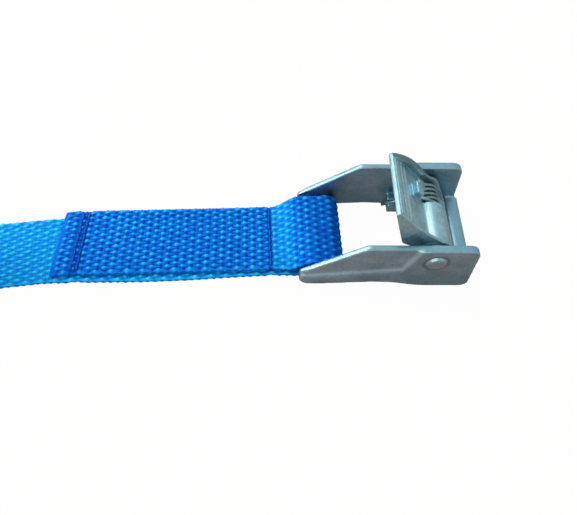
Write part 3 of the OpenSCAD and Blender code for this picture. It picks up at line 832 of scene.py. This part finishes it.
# Castings
def soft_casting(name, node, voxel, rounds, body, material, shape):
    """A copy of a casting whose edges are softened as a die leaves them, then shaped and marked further."""
    bm = bmesh.new()
    bm.from_mesh(frame["nodes"][node].data)
    bmesh.ops.remove_doubles(bm, verts=bm.verts, dist=casting_weld_gap * MM)
    blank = add_object(name + "_blank", mesh_of(bm, name))
    remesh = blank.modifiers.new("skin", "REMESH")
    remesh.mode = "VOXEL"
    remesh.voxel_size = voxel * MM
    soften = blank.modifiers.new("soften", "SMOOTH")
    soften.factor = soften_share
    soften.iterations = rounds
    mesh = bpy.data.meshes.new_from_object(blank.evaluated_get(bpy.context.evaluated_depsgraph_get()))
    mesh.name = name
    bpy.data.objects.remove(blank)
    shape(mesh)
    mark_edges(mesh, voxel)
    add_piece(name, mesh, material, body, "casting", node)


def lift_ledge(x, z, low, outside):
    """Moves the ledge up on the outside of the cheeks, less and less towards their lower and upper edges."""
    high = np.minimum(cheek_top, nose_high + ramp_slope * (x - nose_x))
    ledge = np.interp(x, [ledge_from[0], ledge_to[0]], [ledge_from[1], ledge_to[1]])
    places = [nose_x, ledge_from[0] + nose_run, ledge_to[0], ledge_top[0]]
    lift = np.interp(x, places, [nose_lift, ledge_lift, ledge_lift, 0])
    below = (z - low) / (ledge - low)
    above = (high - z) / np.maximum(high - ledge, 0.2)
    raised = outside * lift * np.clip(np.minimum(below, above), 0, 1)
    x += raised * ledge_lean * ease(x / ledge_to[0])
    z += raised


def from_ledge(x, z):
    """Distance from the line of the lifted ledge, seen from the side."""
    nose_z = ledge_from[1] + nose_lift
    bend = (ledge_to[0] + ledge_lift * ledge_lean, ledge_to[1] + ledge_lift)
    line = [(nose_x, nose_z), (ledge_from[0], nose_z), bend, ledge_top]
    away = np.full(len(x), np.inf)
    for start, stop in zip(line, line[1:]):
        run = np.subtract(stop, start)
        share = np.clip(((x - start[0]) * run[0] + (z - start[1]) * run[1]) / (run @ run), 0, 1)
        away = np.minimum(away, np.hypot(x - start[0] - share * run[0], z - start[1] - share * run[1]))
    return away


def round_corners(x, z, cheek):
    """Rounds the lower corners of the cheeks, at the foot in front and at the nose behind."""
    for way, corner, level, radius in ((1, foot_x, 0, foot_round), (-1, nose_x, nose_low, nose_round)):
        ahead = np.clip(way * (x - corner) / radius + 1, 0, 1)
        down = np.clip(1 - (z - level) / radius, 0, 1)
        x -= way * cheek * radius * ahead * (1 - np.sqrt(1 - down ** 2 / 2))
        z += cheek * radius * down * (1 - np.sqrt(1 - ahead ** 2 / 2))


def shape_cheeks(mesh):
    """Gives the cheeks the soft ledge, the waved belly and the round lower corners of the casting."""
    place, (one, other) = points_and_links(mesh)
    x, y, z = place.T
    outside = ease((np.abs(y) - panel_from) / panel_fade)
    cheek = ease((np.abs(y) - cheek_from) / cheek_fade)
    low = np.interp(x, [nose_x, arch_x, belly_x], [nose_low, arch_z, 0])
    lift_ledge(x, z, low, outside)
    belly = sum(np.interp(x + aside, *zip(*belly_line)) for aside in belly_blur) / len(belly_blur)
    z += cheek * (belly - low) * (1 - ease((z - low) / belly_reach))
    away = from_ledge(x, z)
    soft = soften_share * outside * (1 - ease(2 * away / ledge_soft - 1))
    for _ in range(ledge_rounds):
        for axis in place.T:
            axis += soft * (beside(axis, one, other) - axis)
    round_corners(x, z, cheek)
    mesh.vertices.foreach_set("co", (place * MM).ravel())
    mesh.update()
    # A painted highlight along the ledge, stronger where it slopes
    on_slope = ease((x - slope_from) / slope_run)
    glint = outside * (1 - ease(away / ledge_glint))
    store(mesh, "ledge", glint * (level_glint + (1 - level_glint) * on_slope))


def shade_far_rim(mesh):
    """Marks the upward-facing rim of the lever on the spring's side for painted shade, standing for the dark
    it reflects.
    """
    x, y, z = points_and_links(mesh)[0].T
    outward = read(mesh.vertex_normals, "vector", 3)
    along = (x - pivot[0]) * math.cos(lever_angle) + (z - pivot[2]) * math.sin(lever_angle)
    rising = outward @ (math.sin(lever_angle), 0, -math.cos(lever_angle))
    half = np.interp(along, [lever_taper_from, lever_length], [lever_half, lip_half])
    on_rim = ease((y - half + lever_rim + rim_fade) / rim_fade)
    store(mesh, "painted_rim_shade", on_rim * ease((rising - rim_upward_from) / rim_upward_run))


def mark_edges(mesh, voxel):
    """Stores where the skin bulges, is hollow or faces up, for lighter edges that are partly wear and partly
    painted highlight, painted shade in corners and painted shade on top faces.
    """
    place, (one, other) = points_and_links(mesh)
    outward = read(mesh.vertex_normals, "vector", 3)
    around = np.stack([beside(axis, one, other) for axis in place.T], axis=1)
    bulge = np.einsum("ij,ij->i", place - around, outward) / voxel
    for _ in range(edge_rounds):
        bulge += soften_share * (beside(bulge, one, other) - bulge)
    hollow = np.maximum(-bulge, 0)
    for _ in range(hollow_rounds):
        hollow += hollow_share * (beside(hollow, one, other) - hollow)
    store(mesh, "edge", bulge)
    store(mesh, "hollow", hollow)
    store(mesh, "upward", ease((outward[:, 2] - upward_from) / upward_run))


# Rivet and spring
def rivet(material):
    """Pivot rivet: a pin with a bevelled head on each cheek, turned from one profile."""
    face = head_radius - head_side - head_bevel
    half = [(r, head_height - dome_rise * (r / face) ** 2) for r in np.linspace(0, face, 8)]
    rim = head_height - dome_rise
    half += [(face + head_bevel * share, rim - head_bevel * share) for share in (0.12, 0.5, 0.88)]
    half += [(head_radius, head_side), (head_radius, 0.0), (pin_radius, 0.0)]
    profile = [(r, rim_out + y) for r, y in half]
    profile += [(r, -y) for r, y in reversed(profile)]
    bm = bmesh.new()
    verts = [bm.verts.new(((pivot[0] + r) * MM, y * MM, pivot[2] * MM)) for r, y in profile]
    edges = [bm.edges.new(pair) for pair in zip(verts, verts[1:])]
    bmesh.ops.spin(bm, geom=verts + edges, cent=Vector(pivot) * MM, axis=(0, 1, 0), angle=TURN,
                   steps=rivet_steps, use_merge=True)
    bmesh.ops.remove_doubles(bm, verts=bm.verts, dist=weld_gap * MM)
    bmesh.ops.recalc_face_normals(bm, faces=bm.faces)
    mesh = mesh_of(bm, "pivot_pin")
    add_piece("pivot_pin", mesh, material, "frame", "steel", "pivot_rivet")


def spring(material):
    """Torsion spring: round wire coiled about the rivet with a straight leg at each end."""
    out = Vector((math.cos(coil_from), 0, math.sin(coil_from)))
    coil_rise = coil_pitch * coil_sweep / TURN
    start = Vector((pivot[0], frame_leg_y - coil_rise, pivot[2])) + coil_radius * out
    tangent = Vector((-math.sin(coil_from), 0, math.cos(coil_from)))
    bm = bmesh.new()
    placed = Matrix((out, Vector((0, 1, 0)), tangent)).transposed().to_4x4()
    placed.translation = start
    placed = Matrix.Scale(MM, 4) @ placed
    first = bmesh.ops.create_circle(bm, segments=wire_sides, radius=wire_radius, matrix=placed)["verts"]
    rim = list({edge for vert in first for edge in vert.link_edges})
    coil = bmesh.ops.spin(bm, geom=first + rim, cent=Vector(pivot) * MM, axis=(0, 1, 0),
                          dvec=(0, coil_rise / coil_steps * MM, 0), angle=coil_sweep, steps=coil_steps)
    last = [item for item in coil["geom_last"] if isinstance(item, bmesh.types.BMEdge)]
    end_angle = coil_from - coil_sweep
    frame_way = Vector((math.sin(end_angle), 0, -math.cos(end_angle)))
    for loop, way, length in ((rim, tangent, lever_leg_length), (last, frame_way, frame_leg_length)):
        leg = bmesh.ops.extrude_edge_only(bm, edges=loop)["geom"]
        tip = [item for item in leg if isinstance(item, bmesh.types.BMVert)]
        bmesh.ops.translate(bm, verts=tip, vec=way * length * MM)
    bmesh.ops.remove_doubles(bm, verts=bm.verts, dist=weld_gap * MM)
    close_ends(bm)
    mesh = mesh_of(bm, "cam_spring")
    piece = add_piece("cam_spring", mesh, material, None, "steel", "torsion_spring")
    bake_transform(piece)


def roll_tie(material):
    """Tape through the roll's core and over its top, its free end pressed down on itself."""
    side = half_width + tie_play + tie_thickness / 2
    top = roll_radius + tie_play + tie_thickness / 2
    core = roll_core - tie_play - tie_thickness / 2
    corners = [(tie_start, top), (side, top), (side, core), (-side, core), (-side, top), (tie_end, top)]
    path = np.array(corners, float)
    lengths = np.concatenate([[0], np.cumsum(np.linalg.norm(np.diff(path, axis=0), axis=1))])
    run = np.arange(0, lengths[-1], tie_step)
    line = np.stack([np.interp(run, lengths, path[:, k]) for k in range(2)], axis=1)
    for _ in range(tie_rounds):
        line[1:-1] = (line[:-2] + 2 * line[1:-1] + line[2:]) / 4
    line[:, 1] += tie_thickness * ease((run - lengths[4] - side - lap_from) / lap_run)
    way = unit(np.gradient(line, axis=0))
    outward = np.stack([-way[:, 1], way[:, 0]], axis=1)
    around = np.linspace(0, TURN, 25)[:-1]
    wide = tie_width / 2 * np.sign(np.cos(around)) * np.abs(np.cos(around)) ** tie_wide_power
    thick = tie_fill * tie_thickness / 2 * np.sign(np.sin(around)) * np.abs(np.sin(around)) ** tie_thick_power
    axial = line[:, :1] + outward[:, :1] * thick[None, :]
    height = line[:, 1:] + outward[:, 1:] * thick[None, :]
    x, y = lead_plan(lead_length - lead_bend + np.broadcast_to(wide, axial.shape), axial)
    mesh = sleeve("roll_tape", to_frame(np.stack([x, y, roll_radius + height], axis=-1)))
    add_piece("roll_tape", mesh, material, "strap", "tie", "roll_tie")


# Stage
def stand_camera():
    """The camera where the photo was taken from, with the photo's field of view."""
    right = Vector((math.cos(camera_turn), math.sin(camera_turn), 0))
    ahead = Vector((-math.sin(camera_turn) * math.cos(camera_lift),
                    math.cos(camera_turn) * math.cos(camera_lift), -math.sin(camera_lift)))
    up = right.cross(ahead)
    turned_right = math.cos(camera_roll) * right + math.sin(camera_roll) * up
    turned_up = math.cos(camera_roll) * up - math.sin(camera_roll) * right
    data = bpy.data.cameras.new("camera")
    data.sensor_width = sensor_width
    data.lens = focal_pixels * sensor_width / photo_width
    data.clip_start = camera_near * MM
    stand = Matrix((turned_right, turned_up, -ahead)).transposed().to_4x4()
    stand.translation = Vector(camera_place) * MM
    camera = add_object("camera", data)
    camera.matrix_world = stand
    bpy.context.scene.camera = camera


def softbox(name, place, aim, size, power, tint=(1, 1, 1)):
    """A round lamp of this width that faces a point near the object."""
    data = bpy.data.lights.new(name, "AREA")
    data.shape = "DISK"
    data.size = size * MM
    data.energy = power
    data.color = tint
    lamp = add_object(name, data)
    lamp.location = Vector(place) * MM
    lamp.rotation_euler = (Vector(aim) - Vector(place)).to_track_quat("-Z", "Y").to_euler()


def light_stage():
    """A white studio: a softbox behind the buckle, one over the strap's left end and a weak front fill."""
    world = bpy.data.worlds.new("studio")
    bpy.context.scene.world = world
    world.use_nodes = True
    nodes = Nodes(world.node_tree)
    background = world.node_tree.nodes["Background"].inputs
    background["Color"].default_value = colour(1, 1, 1)
    seen, mirrored = nodes.rays()
    nodes.put(background["Strength"], (studio_fill + studio_mirror * mirrored).most(seen))
    softbox("key", (-166, 200, 320), (-30, 0, 0), 340, 0.78, (0.96, 0.98, 1.0))
    softbox("strap light", (-380, 80, 190), (-60, 0, 0), 200, 0.92, (0.94, 1.0, 0.92))
    softbox("front fill", (-100, -300, 100), (-80, 0, 0), 300, 0.22)


def floor():
    """A pale floor that the camera sees as white, with the object's own soft shadow left on it."""
    material, nodes, into = finish("pale floor", {"Roughness": 0.9, "Specular IOR Level": 0.1})
    into["Base Color"].default_value = colour(0.72, 0.485, 0.45)
    tree = material.node_tree
    glow = nodes.add("ShaderNodeEmission", None, {"Color": colour(1, 1, 1), "Strength": floor_glow})
    seen, mirrored = nodes.rays()
    shader = Socket(nodes, tree.nodes["Principled BSDF"].outputs[0])
    share = floor_white * seen + floor_mirror * mirrored
    shown = nodes.add("ShaderNodeMixShader", None, {0: share, 1: shader, 2: glow})
    nodes.put(tree.nodes["Material Output"].inputs["Surface"], shown)
    bm = bmesh.new()
    bmesh.ops.create_grid(bm, x_segments=1, y_segments=1, size=floor_size * MM)
    mesh = mesh_of(bm, "floor")
    mesh.materials.append(material)
    ground = add_object("floor", mesh)


bpy.context.scene.view_settings.view_transform = "Standard"
stand_camera()
light_stage()
floor()
webbing_blue = webbing_finish()
thread_blue = thread_finish()
frame_zinc = casting_finish("frame zinc", colour(0.205, 0.40, 0.49), colour(0.285, 0.49, 0.585),
                            roughness=0.36, mottle=0.65, rub_and_glint=0.18, top_shade=0.8, rivet_shade=0.75)
lever_zinc = casting_finish("lever zinc", colour(0.24, 0.48, 0.56), colour(0.35, 0.62, 0.70),
                            roughness=0.40, mottle=0.4, rub_and_glint=0.5, barrel_glint=1.0)
rivet_steel = steel_finish("rivet steel", colour(0.26, 0.44, 0.48), colour(0.34, 0.53, 0.57), 0.26)
spring_steel = steel_finish("spring steel", colour(0.28, 0.42, 0.46), colour(0.44, 0.60, 0.64), 0.32, coil_shade=0.6)
tie_black = tie_finish()

lay_webbing(webbing_blue)
sew("front_needle_stitches", front_seams, needle_height, 1, tail_shift, thread_blue)
sew("front_bobbin_stitches", front_seams, bobbin_height, -1, -lower_shift, thread_blue)
sew("rear_needle_stitches", rear_seams, needle_height, 1, tail_shift + tail_drift, thread_blue)
sew("rear_bobbin_stitches", rear_seams, bobbin_height, -1, -lower_shift, thread_blue)
soft_casting("cast_frame", "buckle_frame", frame_voxel, frame_rounds, "frame", frame_zinc, shape_cheeks)
soft_casting("cast_lever", "cam_lever", lever_voxel, lever_rounds, "cam", lever_zinc, shade_far_rim)
rivet(rivet_steel)
spring(spring_steel)
roll_tie(tie_black)
